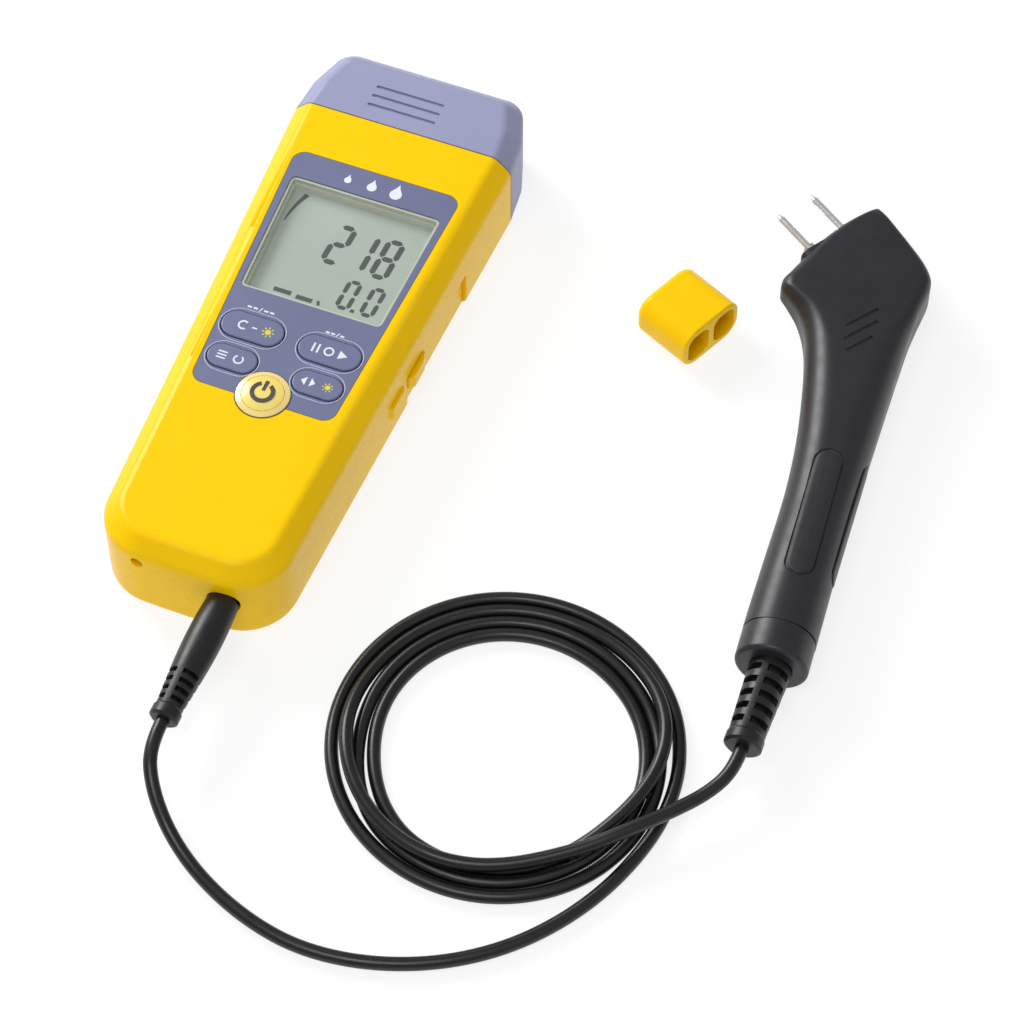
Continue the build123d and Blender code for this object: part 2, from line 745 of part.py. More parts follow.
boot_plane = Plane(origin=handset.origin, x_dir=handset.x_dir.rotate(Axis.Z, boot_lean), z_dir=(0, 0, 1))
probe_boot = ribbed_boot(boot_plane, probe_boot_length, 5.6, 4.7, 5.0, 5)
save(probe_boot, "probe_boot")


def cord_tube(points):
    """A round cord through hand-set points: straight runs joined by tangent arcs."""
    points = [Vector(*p) for p in points]
    radii = []
    for before, corner, after in zip(points, points[1:], points[2:]):
        run_in, run_out = corner - before, after - corner
        turn = run_in.get_angle(run_out)
        radii.append(0.45 * min(run_in.length, run_out.length) / tan(radians(turn) / 2))
    with BuildPart() as tube:
        with BuildLine() as route:
            FilletPolyline(*points, radius=radii)
        path = route.wire()
        with BuildSketch(Plane(origin=path @ 0, z_dir=path % 0)):
            Circle(cord_r)
        sweep(path=path)
    expected = pi * cord_r**2 * path.length
    print("cord radii", [round(r) for r in radii], "length", round(path.length, 1))
    print("cord volume against section times length", round(tube.part.volume / expected, 4))
    return tube


meter_side_route = [
    (plug_x, boot_end_y, plug_z),
    (plug_x, -135.2, plug_z),
    (16.2, -143.6, 10.8),
    (23.4, -150.8, 4.8),
    (34.4, -158.0, cord_r),
    (49.4, -164.6, cord_r),
    (65.5, -167.7, cord_r),
    (83.5, -165.3, cord_r),
    (101.3, -157.8, cord_r),
    (116.5, -145.6, cord_r),
    (128.5, -128.3, cord_r),
    (135.4, -108.1, cord_r),
    (135.9, -91.5, cord_r),
]
cord_meter_side = cord_tube(meter_side_route)
save(cord_meter_side, "cord_meter_side")

boot_tip = boot_plane.from_local_coords((0, -probe_boot_length, 0))
boot_lead_in = boot_plane.from_local_coords((0, -probe_boot_length - 6.8, 0))
probe_side_route = [
    (128.7, -112.3, 8.2),
    (137.6, -103.0, 8.3),
    (144.6, -94.8, 8.7),
    tuple(boot_lead_in),
    tuple(boot_tip),
]
cord_probe_side = cord_tube(probe_side_route)
save(cord_probe_side, "cord_probe_side")

with BuildPart() as cord_coil:
    with BuildSketch():
        with Locations((coil_x, coil_y)):
            Circle(coil_outer_r)
            Circle(coil_inner_r, mode=Mode.SUBTRACT)
    extrude(amount=16)
    tilt_dir = Vector(cos(radians(coil_tilt_heading)), sin(radians(coil_tilt_heading)), 0)
    cut_normal = Vector(0, 0, 1) * cos(radians(coil_tilt)) - tilt_dir * sin(radians(coil_tilt))
    split(bisect_by=Plane(origin=(coil_x, coil_y, coil_mid_z), z_dir=cut_normal), keep=Keep.BOTTOM)
    fillet(cord_coil.edges().filter_by(GeomType.CIRCLE, reverse=True), radius=1.2)
save(cord_coil, "cord_coil")

# ================================================================ handset
pin_out = handset.x_dir * cos(radians(pin_heading)) + handset.y_dir * sin(radians(pin_heading))
pin_plane = Plane(
    origin=handset.from_local_coords(pin_face),
    x_dir=pin_out.cross(Vector(0, 0, 1)),
    z_dir=pin_out,
)
pin_spots = [(-pin_gap / 2, 0), (pin_gap / 2, 0)]


def handset_station(distance):
    """Plane across the handset at a distance along it."""
    return Plane(
        origin=handset.from_local_coords((0, distance, 0)), x_dir=handset.x_dir, z_dir=handset.y_dir
    )


def handset_loft(inset, rows):
    """The handset's form through its stations, or its hollow when inset."""
    with BuildPart(mode=Mode.PRIVATE) as form:
        for distance, left, right, above, below, radius in rows:
            with BuildSketch(handset_station(distance)):
                with Locations(((left + right) / 2, (below - above) / 2)):
                    RectangleRounded(right - left - 2 * inset, above + below - 2 * inset, radius - inset)
        loft(ruled=True)
    return form.part


handset_form = handset_loft(0.0, stations)
handset_hollow = handset_loft(handset_wall, stations[1:13])


def pad_sketch(grow=0.0):
    with BuildSketch() as plan:
        SlotOverall(pad_length + 2 * grow, pad_w + 2 * grow)
    return plan.sketch


top_pad_plane = Plane(
    origin=handset.from_local_coords((0.6, pad_middle, 9.3)), x_dir=handset.y_dir, z_dir=(0, 0, 1)
)
side_pad_plane = Plane(
    origin=handset.from_local_coords((9.8, pad_middle, 0)), x_dir=handset.y_dir, z_dir=handset.x_dir
)


def handset_shell(keep):
    """Half of the handset's casing: keep says above or below its middle plane."""
    with BuildPart() as shell:
        add(handset_form)
        add(handset_hollow, mode=Mode.SUBTRACT)
        # passage for the wires and the end collar's spigot
        with BuildSketch(handset_station(stations[0][0] - 1)):
            Circle(6.3)
        extrude(amount=20, mode=Mode.SUBTRACT)
        # seat for the pin block
        with BuildSketch(pin_plane.offset(-4.2)):
            RectangleRounded(23.2, 12.2, 2.6)
        extrude(amount=12, mode=Mode.SUBTRACT)
        # seats for the grip pads and the heel grooves
        for plane in (top_pad_plane, side_pad_plane):
            with BuildSketch(plane.offset(-pad_sink)):
                add(pad_sketch(grow=0.1))
            extrude(amount=4, mode=Mode.SUBTRACT)
        with BuildSketch(handset.offset(9.2)):
            for step in range(3):
                with Locations(Location((-0.4 - 0.3 * step, 107.0 - 4.4 * step, 0), 50)):
                    SlotOverall(9.0 - 0.8 * step, 0.9)
        extrude(amount=3, mode=Mode.SUBTRACT)
        split(bisect_by=Plane.XY.offset(axis_z), keep=keep)
        if keep == Keep.BOTTOM:
            with BuildSketch(handset):
                with Locations(*probe_screw_spots):
                    Circle(2.4)
            extrude(amount=-8.2)
            with BuildSketch(handset):
                with Locations(*probe_screw_spots):
                    Circle(1.1)
            extrude(amount=-12, mode=Mode.SUBTRACT)
            with BuildSketch(handset.offset(-8.0)):
                with Locations(*probe_screw_spots):
                    Circle(2.1)
            extrude(amount=-4, mode=Mode.SUBTRACT)
        else:
            with BuildSketch(handset):
                with Locations(*probe_screw_spots):
                    Circle(2.4)
            extrude(amount=8.2)
            with BuildSketch(handset):
                with Locations(*probe_screw_spots):
                    Circle(1.05)
            extrude(amount=5.5, mode=Mode.SUBTRACT)
    return shell


probe_shell_upper = handset_shell(Keep.TOP)
save(probe_shell_upper, "probe_shell_upper")
probe_shell_lower = handset_shell(Keep.BOTTOM)
save(probe_shell_lower, "probe_shell_lower")

with BuildPart() as probe_screws:
    with BuildSketch(handset.offset(-9.0)):
        with Locations(*probe_screw_spots):
            Circle(2.0)
    extrude(amount=1.0)
    with BuildSketch(handset.offset(-8.0)):
        with Locations(*probe_screw_spots):
            Circle(1.0)
    extrude(amount=13.0)
    with BuildSketch(handset.offset(-9.0)):
        with Locations(*probe_screw_spots):
            Rectangle(2.6, 0.6)
            Rectangle(0.6, 2.6)
    extrude(amount=0.6, mode=Mode.SUBTRACT)
save(probe_screws, "probe_screws")

with BuildPart() as probe_end_collar:
    with BuildSketch(handset_station(0)):
        Circle(9.6)
        Circle(5.7, mode=Mode.SUBTRACT)
    extrude(amount=collar_length)
    fillet(probe_end_collar.edges().group_by(Axis.Y)[0], radius=1.2)
    with BuildSketch(handset_station(collar_length)):
        Circle(6.2)
        Circle(3.4, mode=Mode.SUBTRACT)
    extrude(amount=8.0)
    with BuildSketch(handset_station(collar_length - 3.0)):
        Circle(6.2)
        Circle(3.4, mode=Mode.SUBTRACT)
    extrude(amount=3.0)
save(probe_end_collar, "probe_end_collar")

with BuildPart() as probe_pin_block:
    with BuildSketch(pin_plane.offset(-4.1)):
        RectangleRounded(23.0, 12.0, 2.5)
        with Locations(*pin_spots):
            Circle(pin_r + 0.02, mode=Mode.SUBTRACT)
    extrude(amount=4.7)
    front_face = probe_pin_block.faces().sort_by(Axis(pin_plane.origin, pin_out))[-1]
    fillet(front_face.outer_wire().edges(), radius=0.5)
save(probe_pin_block, "probe_pin_block")

with BuildPart() as probe_pins:
    with BuildSketch(pin_plane.offset(-7.5)):
        with Locations(*pin_spots):
            Circle(pin_r)
    extrude(amount=7.5 + pin_length - 3.0)
    pin_ends = probe_pins.faces().filter_by(Axis(pin_plane.origin, pin_out))
    pin_ends = pin_ends.group_by(Axis(pin_plane.origin, pin_out))[-1]
    extrude(pin_ends, amount=3.0, taper=20)
save(probe_pins, "probe_pins")

with BuildPart() as probe_pin_nuts:
    with BuildSketch(pin_plane.offset(0.6)):
        with Locations(*pin_spots):
            RegularPolygon(radius=2.4, side_count=6)
            Circle(pin_r + 0.02, mode=Mode.SUBTRACT)
    extrude(amount=1.8)
    with BuildSketch(pin_plane.offset(2.4)):
        with Locations(*pin_spots):
            Circle(1.9)
            Circle(pin_r + 0.02, mode=Mode.SUBTRACT)
    extrude(amount=1.4)
save(probe_pin_nuts, "probe_pin_nuts")

for name, plane in (("grip_pad_top", top_pad_plane), ("grip_pad_side", side_pad_plane)):
    with BuildPart() as grip_pad:
        with BuildSketch(plane.offset(-pad_sink)):
            add(pad_sketch())
        extrude(amount=pad_sink + pad_proud)
        fillet(grip_pad.faces().sort_by(Axis(plane.origin, plane.z_dir))[-1].edges(), radius=0.3)
    save(grip_pad, name)

for name, side in (("probe_wire_left", -1), ("probe_wire_right", 1)):
    with BuildPart() as wire:
        start = handset.from_local_coords((1.3 * side, stations[0][0], 0))
        bend = handset.from_local_coords((1.6 * side, 96.0, 0))
        finish = pin_plane.from_local_coords((side * pin_gap / 2, 0, -8.2))
        with BuildLine() as lay:
            FilletPolyline(start, bend, finish, radius=12)
        lay_path = lay.wire()
        with BuildSketch(Plane(origin=lay_path @ 0, z_dir=lay_path % 0)):
            Circle(wire_r)
        sweep(path=lay_path)
    save(wire, name)

# ================================================================ pin cap
cap_plane = Plane(
    origin=(pin_cap_centre[0], pin_cap_centre[1], 0),
    x_dir=(cos(radians(pin_cap_heading)), sin(radians(pin_cap_heading)), 0),
    z_dir=(0, 0, 1),
)
mouth_plane = Plane(
    origin=cap_plane.from_local_coords((pin_cap_d / 2, 0, pin_cap_h / 2)),
    x_dir=cap_plane.y_dir,
    z_dir=cap_plane.x_dir,
)

with BuildPart() as pin_cap:
    with BuildSketch(mouth_plane):
        RectangleRounded(pin_cap_w, pin_cap_h, pin_cap_corner)
    extrude(amount=-pin_cap_d)
    ends = pin_cap.faces().sort_by(Axis(mouth_plane.origin, mouth_plane.z_dir))
    fillet(ends[0].edges(), radius=2.2)
    ends = pin_cap.faces().sort_by(Axis(mouth_plane.origin, mouth_plane.z_dir))
    fillet(ends[-1].edges(), radius=0.7)
    with BuildSketch(mouth_plane):
        with Locations((-pocket_x, 0), (pocket_x, 0)):
            RectangleRounded(pocket_w, pocket_h, 3.0)
    extrude(amount=-pocket_depth, mode=Mode.SUBTRACT)
save(pin_cap, "pin_cap")
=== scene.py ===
"""Looks of the moisture meter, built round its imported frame. Metres, +Z up, the meter lying on its back."""
import json
from math import cos, pi, radians, sin

import bmesh
import bpy
from mathutils import Matrix, Vector
from mathutils.bvhtree import BVHTree


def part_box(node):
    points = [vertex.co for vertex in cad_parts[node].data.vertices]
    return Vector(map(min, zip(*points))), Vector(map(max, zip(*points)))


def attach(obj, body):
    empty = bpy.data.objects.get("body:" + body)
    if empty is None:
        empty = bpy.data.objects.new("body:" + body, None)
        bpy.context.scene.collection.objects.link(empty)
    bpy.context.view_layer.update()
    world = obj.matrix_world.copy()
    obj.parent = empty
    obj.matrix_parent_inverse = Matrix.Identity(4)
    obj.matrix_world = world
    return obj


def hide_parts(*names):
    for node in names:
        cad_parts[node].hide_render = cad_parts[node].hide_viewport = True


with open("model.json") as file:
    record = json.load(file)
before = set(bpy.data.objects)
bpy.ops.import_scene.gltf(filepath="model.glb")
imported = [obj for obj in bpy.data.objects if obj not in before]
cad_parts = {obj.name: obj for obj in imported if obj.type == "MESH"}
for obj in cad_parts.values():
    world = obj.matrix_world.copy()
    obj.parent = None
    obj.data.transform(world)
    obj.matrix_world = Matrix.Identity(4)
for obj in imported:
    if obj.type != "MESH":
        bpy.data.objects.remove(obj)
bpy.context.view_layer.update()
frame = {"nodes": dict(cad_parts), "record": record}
nodes = frame["nodes"]
MM = 0.001
RIGHT, AHEAD, UP = Vector((1, 0, 0)), Vector((0, 1, 0)), Vector((0, 0, 1))

# ---------------------------------------------------------------- driving values
VIEW_TARGET = Vector((0.06706, -0.02844, 0.0))
VIEW_DISTANCE = 0.9587
VIEW_AZIMUTH = 21.2
VIEW_ELEVATION = 56.0
VIEW_LENS = 128.1

WORLD_STRENGTH = 0.40
FLOOR_HALF = 3.0
FLOOR_GREY = 0.22
FLOOR_GLOW = 0.80
LIGHTS_AIM = (0.06, -0.04, 0.0)
# lights: name, place, diameter, watts
LIGHTS = [
    ("key", (-0.80, 0.42, 0.66), 0.6, 10.5),
    ("fill", (0.85, -0.35, 0.75), 0.9, 0.5),
    ("front", (0.00, -0.55, 1.15), 0.6, 4.8),
]

CORD_D = 0.0036
COIL_CENTRE = Vector((0.0911, -0.0961, 0.0))
COIL_TURN = 1.5  # turn of the whole coil about its centre, degrees
COIL_STEP = 15  # degrees from one point of a turn to the next

HANDSET_AT = Vector((0.1476, -0.0556, 0.010))
HANDSET_HEADING = 5.5
PIN_HEADING = 141.0

CELL_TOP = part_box("lcd_glass")[1].z
PLATE_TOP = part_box("faceplate")[1].z
INK = 0.00004  # thickness of printed marks
CREASE = 40.0  # edges sharper than this stay sharp on turned and cut pieces, degrees


# ================================================================ camera, light and floor
def make_camera():
    azimuth, elevation = radians(VIEW_AZIMUTH), radians(VIEW_ELEVATION)
    back = Vector((sin(azimuth) * cos(elevation), -cos(azimuth) * cos(elevation), sin(elevation)))
    data = bpy.data.cameras.new("camera")
    data.lens = VIEW_LENS
    data.clip_start, data.clip_end = 0.01, 10.0
    camera = bpy.data.objects.new("camera", data)
    bpy.context.scene.collection.objects.link(camera)
    camera.location = VIEW_TARGET + back * VIEW_DISTANCE
    camera.rotation_euler = (-back).to_track_quat("-Z", "Y").to_euler()
    bpy.context.scene.camera = camera


def soft_light(name, place, size, watts):
    """A round lamp that faces the middle of the set."""
    data = bpy.data.lights.new(name, "AREA")
    data.shape = "DISK"
    data.size = size
    data.energy = watts
    lamp = bpy.data.objects.new(name, data)
    bpy.context.scene.collection.objects.link(lamp)
    lamp.location = place
    lamp.rotation_euler = (Vector(LIGHTS_AIM) - Vector(place)).to_track_quat("-Z", "Y").to_euler()


def make_studio():
    scene = bpy.context.scene
    scene.view_settings.view_transform = "Standard"
    world = bpy.data.worlds.new("studio")
    scene.world = world
    world.use_nodes = True
    sky = world.node_tree.nodes["Background"]
    sky.inputs["Color"].default_value = (1.0, 1.0, 1.0, 1.0)
    sky.inputs["Strength"].default_value = WORLD_STRENGTH
    for light in LIGHTS:
        soft_light(*light)

    mesh = bpy.data.meshes.new("floor")
    corners = [(FLOOR_HALF * x, FLOOR_HALF * y, 0) for x, y in ((-1, -1), (1, -1), (1, 1), (-1, 1))]
    mesh.from_pydata(corners, [], [(0, 1, 2, 3)])
    floor = bpy.data.objects.new("floor", mesh)
    scene.collection.objects.link(floor)
    paper = bpy.data.materials.new("paper")
    paper.use_nodes = True
    shader = paper.node_tree.nodes["Principled BSDF"]
    shader.inputs["Base Color"].default_value = (FLOOR_GREY, FLOOR_GREY, FLOOR_GREY, 1)
    shader.inputs["Roughness"].default_value = 0.95
    shader.inputs["Specular IOR Level"].default_value = 0.1
    shader.inputs["Emission Color"].default_value = (1, 1, 1, 1)
    shader.inputs["Emission Strength"].default_value = FLOOR_GLOW
    mesh.materials.append(paper)


# ================================================================ materials
def graph(name):
    """A new material with its node tree, its shader and texture coordinates in the object's metres."""
    material = bpy.data.materials.new(name)
    material.use_nodes = True
    tree = material.node_tree
    coords = tree.nodes.new("ShaderNodeTexCoord")
    return material, tree, tree.nodes["Principled BSDF"], coords.outputs["Object"]


def noise(tree, coords, scale, detail=4.0, roughness=0.55):
    """A noise factor over the object, with this many cells to the metre."""
    node = tree.nodes.new("ShaderNodeTexNoise")
    node.inputs["Scale"].default_value = scale
    node.inputs["Detail"].default_value = detail
    node.inputs["Roughness"].default_value = roughness
    tree.links.new(coords, node.inputs["Vector"])
    return node.outputs["Fac"]


def ramp(tree, factor, low, high, start=0.3, stop=0.7):
    """Colours from low to high over the middle of a factor's range."""
    node = tree.nodes.new("ShaderNodeValToRGB")
    node.color_ramp.elements[0].position, node.color_ramp.elements[1].position = start, stop
    node.color_ramp.elements[0].color = (*low, 1)
    node.color_ramp.elements[1].color = (*high, 1)
    tree.links.new(factor, node.inputs["Fac"])
    return node.outputs["Color"]


def bump(tree, shader, height, strength, distance):
    """Tips the shader's normal by a height factor, with its depth in metres."""
    node = tree.nodes.new("ShaderNodeBump")
    node.inputs["Strength"].default_value = strength
    node.inputs["Distance"].default_value = distance
    tree.links.new(height, node.inputs["Height"])
    tree.links.new(node.outputs["Normal"], shader.inputs["Normal"])


CLOUD_SCALE, WEAR_SCALE = 46.0, 210.0
MOULD_DEPTH, STREAK_DEPTH = 0.00003, 0.00001


def moulded(name, colour, roughness, grain=2600.0, depth=0.25, shift=0.05, coat=0.0, specular=0.5):
    """Moulded plastic or rubber: slight clouding of the colour, an uneven gloss and a fine mould texture."""
    material, tree, shader, coords = graph(name)
    low = tuple(c * (1 - shift) for c in colour)
    high = tuple(min(1.0, c * (1 + shift)) for c in colour)
    tree.links.new(ramp(tree, noise(tree, coords, CLOUD_SCALE), low, high), shader.inputs["Base Color"])
    wear = noise(tree, coords, WEAR_SCALE)
    dull, shiny = min(1.0, roughness * 1.12), roughness * 0.9
    tree.links.new(ramp(tree, wear, (shiny,) * 3, (dull,) * 3), shader.inputs["Roughness"])
    bump(tree, shader, noise(tree, coords, grain, detail=2.0), depth, MOULD_DEPTH)
    shader.inputs["Coat Weight"].default_value = coat
    shader.inputs["Coat Roughness"].default_value = 0.12
    shader.inputs["Specular IOR Level"].default_value = specular
    return material


def metal(name, colour, roughness, streak=1800.0):
    """Turned or plated metal with fine streaks in its gloss."""
    material, tree, shader, coords = graph(name)
    low = tuple(c * 0.93 for c in colour)
    tree.links.new(ramp(tree, noise(tree, coords, 130.0), low, colour), shader.inputs["Base Color"])
    rough = ramp(tree, noise(tree, coords, streak), (roughness * 0.8,) * 3, (roughness * 1.3,) * 3)
    tree.links.new(rough, shader.inputs["Roughness"])
    bump(tree, shader, noise(tree, coords, streak, detail=1.0), 0.12, STREAK_DEPTH)
    shader.inputs["Metallic"].default_value = 1.0
    return material


def clear(name):
    """The clear window: mostly see-through, with a sharp surface gloss."""
    material, tree, shader, coords = graph(name)
    tint = ramp(tree, noise(tree, coords, 60.0), (0.90, 0.94, 0.90), (0.94, 0.97, 0.94))
    tree.links.new(tint, shader.inputs["Base Color"])
    smear = ramp(tree, noise(tree, coords, 90.0), (0.03,) * 3, (0.06,) * 3)
    tree.links.new(smear, shader.inputs["Roughness"])
    shader.inputs["Alpha"].default_value = 0.035
    shader.inputs["IOR"].default_value = 1.49
    return material


def display_cell(name):
    """The display's grey-green face, a little lighter in patches, with a faint grid of cells."""
    material, tree, shader, coords = graph(name)
    cloud = noise(tree, coords, 55.0, detail=2.0)
    tree.links.new(ramp(tree, cloud, (0.330, 0.390, 0.335), (0.362, 0.424, 0.366)), shader.inputs["Base Color"])
    rough = ramp(tree, noise(tree, coords, 900.0), (0.42,) * 3, (0.50,) * 3)
    tree.links.new(rough, shader.inputs["Roughness"])
    bump(tree, shader, noise(tree, coords, 4200.0, detail=1.0), 0.1, STREAK_DEPTH)
    return material


DEEP_BLACK = (0.0045, 0.0045, 0.0056)
# moulded plastics, rubbers and inks: colour, roughness, and what differs from moulded()'s defaults
MOULDED = {
    "case_yellow": ((0.95, 0.585, 0.0015), 0.27, dict(grain=1900, depth=0.10, shift=0.02, specular=0.14)),
    "cap_grey": ((0.285, 0.298, 0.465), 0.46, dict(grain=1700, depth=0.22, shift=0.03)),
    "faceplate_blue": ((0.135, 0.150, 0.270), 0.44, dict(grain=3000, depth=0.12, shift=0.03)),
    "key_blue": ((0.142, 0.157, 0.280), 0.40, dict(grain=3000, depth=0.15, shift=0.03)),
    "ring_cream": ((0.86, 0.66, 0.24), 0.24, dict(depth=0.06, coat=0.5)),
    "power_cream": ((0.84, 0.66, 0.16), 0.26, dict(depth=0.06, coat=0.5)),
    "bezel_grey": ((0.50, 0.53, 0.43), 0.40, dict(depth=0.12, shift=0.03)),
    "connector_rubber": ((0.05, 0.05, 0.05), 0.7, {}),
    "board_green": ((0.02, 0.16, 0.06), 0.4, {}),
    "chip_black": ((0.012, 0.012, 0.012), 0.5, {}),
    "mat_grey": ((0.12, 0.12, 0.13), 0.6, {}),
    "block_black": (DEEP_BLACK, 0.5, {}),
    "cell_wrap": ((0.03, 0.05, 0.16), 0.3, dict(coat=0.3)),
    "lead_black": (DEEP_BLACK, 0.40, dict(grain=2200, depth=0.25, shift=0.15)),
    "cord_black": ((0.0035, 0.0035, 0.0040), 0.34, dict(grain=1500, depth=0.16, shift=0.2)),
    "handset_black": ((0.0135, 0.0132, 0.0182), 0.40, dict(grain=2300, depth=0.45, shift=0.1)),
    "grip_black": ((0.0135, 0.0133, 0.0180), 0.46, dict(grain=1800, depth=0.5, shift=0.1)),
    "wire_red": ((0.35, 0.01, 0.01), 0.4, {}),
    "wire_white": ((0.7, 0.7, 0.68), 0.4, {}),
    "lcd_ink": ((0.010, 0.018, 0.018), 0.45, dict(depth=0.05)),
    "white_ink": ((0.74, 0.76, 0.83), 0.5, dict(depth=0.1)),
    "pale_line": ((0.400, 0.430, 0.600), 0.42, dict(depth=0.1)),
    "yellow_ink": ((0.72, 0.62, 0.04), 0.5, dict(depth=0.1)),
    "dark_ink_and_painted_shade": ((0.060, 0.050, 0.055), 0.4, dict(depth=0.1)),
}
# metals: colour, roughness
METALS = {
    "steel": ((0.95, 0.95, 0.95), 0.20),
    "screw_steel": ((0.52, 0.52, 0.54), 0.34),
    "nickel": ((0.80, 0.78, 0.73), 0.22),
}


def make_materials():
    made = {"clear_window": clear("clear_window"), "display_glass": display_cell("display_glass")}
    for name, (colour, roughness, more) in MOULDED.items():
        made[name] = moulded(name, colour, roughness, **more)
    for name, (colour, roughness) in METALS.items():
        made[name] = metal(name, colour, roughness)
    return made


def dress_nodes():
    """Gives each CAD node the material of its slot in the record."""
    for part in frame["record"]["subparts"]:
        node = nodes[part["node"]]
        node.data.materials.clear()
        node.data.materials.append(looks[part["material_slot"]])


# ================================================================ mesh helpers
def new_piece(name, mesh, look, body):
    """Puts a finished mesh in the scene, in its material and on its body."""
    piece = bpy.data.objects.new(name, mesh)
    bpy.context.scene.collection.objects.link(piece)
    piece.data.materials.append(looks[look])
    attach(piece, body)
    return piece


def mesh_from(name, points, faces, smooth=True):
    """A mesh with its normals facing out."""
    mesh = bpy.data.meshes.new(name)
    mesh.from_pydata([tuple(p) for p in points], [], faces)
    mesh.validate()
    work = bmesh.new()
    work.from_mesh(mesh)
    bmesh.ops.recalc_face_normals(work, faces=work.faces)
    work.to_mesh(mesh)
    work.free()
    if smooth:
        mesh.shade_smooth()
    return mesh


def walls(count, rings, closed=False):
    """Faces between rings of this many points each, and from the last ring to the first if closed."""
    faces = []
    for row in range(rings if closed else rings - 1):
        a, b = row * count, (row + 1) % rings * count
        for i in range(count):
            j = (i + 1) % count
            faces.append((a + i, a + j, b + j, b + i))
    return faces


def ends(count, rings, flipped=False):
    """Faces that close the first and the last ring."""
    last = (rings - 1) * count
    first_end, last_end = list(range(count)), [last + i for i in range(count)]
    return [first_end[::-1], last_end] if flipped else [first_end, last_end[::-1]]


def placed(outlines, x=0.0, y=0.0):
    """Outlines in millimetres about a point in metres, as outlines in metres."""
    return [[(x + u * MM, y + v * MM) for u, v in outline] for outline in outlines]


def plates(name, outlines, z, thick=INK):
    """Thin closed plates from outlines in plan, all in one mesh. Outlines are lists of (x, y)."""
    points, faces = [], []
    for outline in outlines:
        first, count = len(points), len(outline)
        points += [(x, y, z) for x, y in outline] + [(x, y, z + thick) for x, y in outline]
        faces += [[first + i for i in face] for face in ends(count, 2, flipped=True) + walls(count, 2)]
    return mesh_from(name, points, faces, smooth=False)


def arc_band(x, y, inner, outer, start, stop, steps=40):
    """Outline of a ring's sector in plan, angles in degrees."""
    angles = [radians(start + (stop - start) * i / steps) for i in range(steps + 1)]
    outside = [(x + outer * cos(a), y + outer * sin(a)) for a in angles]
    inside = [(x + inner * cos(a), y + inner * sin(a)) for a in reversed(angles)]
    return outside + inside


def bar(x, y, length, width, angle=0.0):
    """Outline of a rectangle about its middle."""
    a = radians(angle)
    corners = [(-length, -width), (length, -width), (length, width), (-length, width)]
    return [(x + (u * cos(a) - v * sin(a)) / 2, y + (u * sin(a) + v * cos(a)) / 2) for u, v in corners]


def racetrack(length, width, steps=12):
    """Points round a slot shape, about its middle, long side along the first axis."""
    r, run = width / 2, (length - width) / 2
    right = [(run + r * cos(a), r * sin(a)) for a in (radians(-90 + 180 * i / steps) for i in range(steps + 1))]
    left = [(-x, -y) for x, y in right]
    return right + left


def tube(name, path, radius, sides=12, closed=False):
    """A round tube along points, each ring square to the path."""
    count = len(path)
    points = []
    for i, point in enumerate(path):
        ahead = path[(i + 1) % count] if closed or i + 1 < count else path[i]
        behind = path[i - 1] if closed or i else path[i]
        along = (Vector(ahead) - Vector(behind)).normalized()
        side = along.cross(UP if abs(along.z) < 0.95 else RIGHT).normalized()
        rise = side.cross(along)
        for turn in range(sides):
            a = 2 * pi * turn / sides
            points.append(Vector(point) + side * (radius * cos(a)) + rise * (radius * sin(a)))
    faces = walls(sides, count, closed)
    if not closed:
        faces += ends(sides, count)
    return mesh_from(name, points, faces)


def smooth_by_angle(mesh):
    """Smooth shading that keeps sharp edges."""
    mesh.shade_smooth()
    mesh.set_sharp_from_angle(angle=radians(CREASE))


def cut(piece, cutters):
    """Takes cutter meshes out of a piece for good."""
    for index, cutter in enumerate(cutters):
        tool = bpy.data.objects.new(f"cutter_{index}", cutter)
        bpy.context.scene.collection.objects.link(tool)
        modifier = piece.modifiers.new("cut", "BOOLEAN")
        modifier.operation, modifier.solver, modifier.object = "DIFFERENCE", "EXACT", tool
        bpy.context.view_layer.update()
        result = bpy.data.meshes.new_from_object(piece.evaluated_get(bpy.context.evaluated_depsgraph_get()))
        piece.modifiers.clear()
        piece.data = result
        bpy.data.objects.remove(tool)


# ================================================================ lead
# the cord's way from the plug to the coil
METER_SIDE = [
    (0.0120, -0.1270, 0.0140),
    (0.0120, -0.1352, 0.0140),
    (0.0162, -0.1436, 0.0108),
    (0.0234, -0.1508, 0.0048),
    (0.0344, -0.1580, 0.0018),
    (0.0494, -0.1646, 0.0018),
    (0.0655, -0.1677, 0.0018),
    (0.0835, -0.1653, 0.0018),
    (0.1013, -0.1578, 0.0018),
    (0.1165, -0.1456, 0.0018),
    (0.1285, -0.1283, 0.0018),
    (0.1354, -0.1081, 0.0018),
    (0.1359, -0.0915, 0.0018),
]
